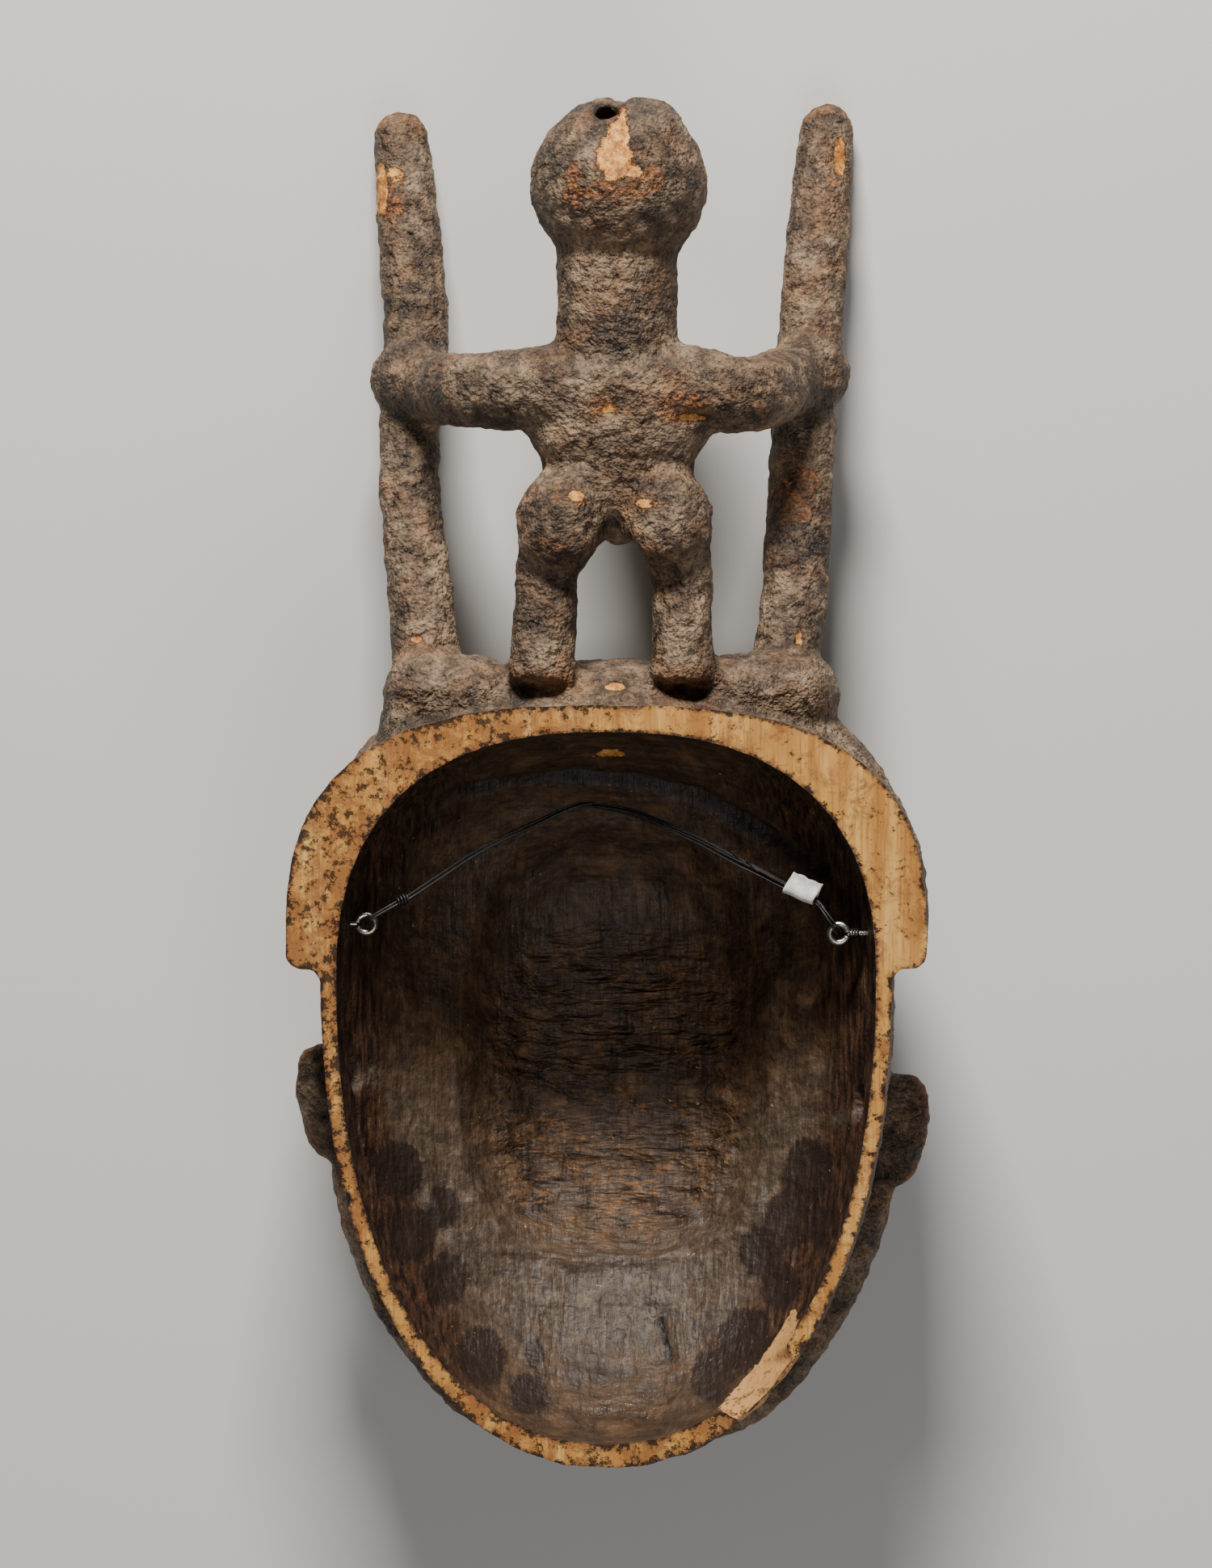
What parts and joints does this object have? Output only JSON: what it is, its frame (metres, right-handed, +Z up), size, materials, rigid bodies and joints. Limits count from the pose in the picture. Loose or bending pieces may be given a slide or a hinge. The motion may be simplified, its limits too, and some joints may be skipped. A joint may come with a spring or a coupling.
{
  "type": "carved wooden face mask with figure",
  "caption": "Hollow-backed carved wooden face mask with a figure standing on it between posts, with screw eyes and a hanging wire, lying face down.",
  "frame": {"origin": "centre of the underside of the mask's box, lying face down", "axes": "+X to the right seen from the hollow back, +Y from the chin to the figure's head, +Z up out of the hollow"},
  "size_m": [0.265, 0.5665, 0.15],
  "materials": {
    "carved_wood": "dark crusty patina, bare pale wood on the sawn rim",
    "steel": "bright",
    "black_wire": "black coated strands",
    "white_tape": "matt"
  },
  "bodies": {
    "root": {"carved_mask": "carved_wood", "screw_eye_left": "steel", "screw_eye_right": "steel", "hanging_wire": "black_wire", "tape_sleeve": "white_tape"}
  },
  "joints": []
}
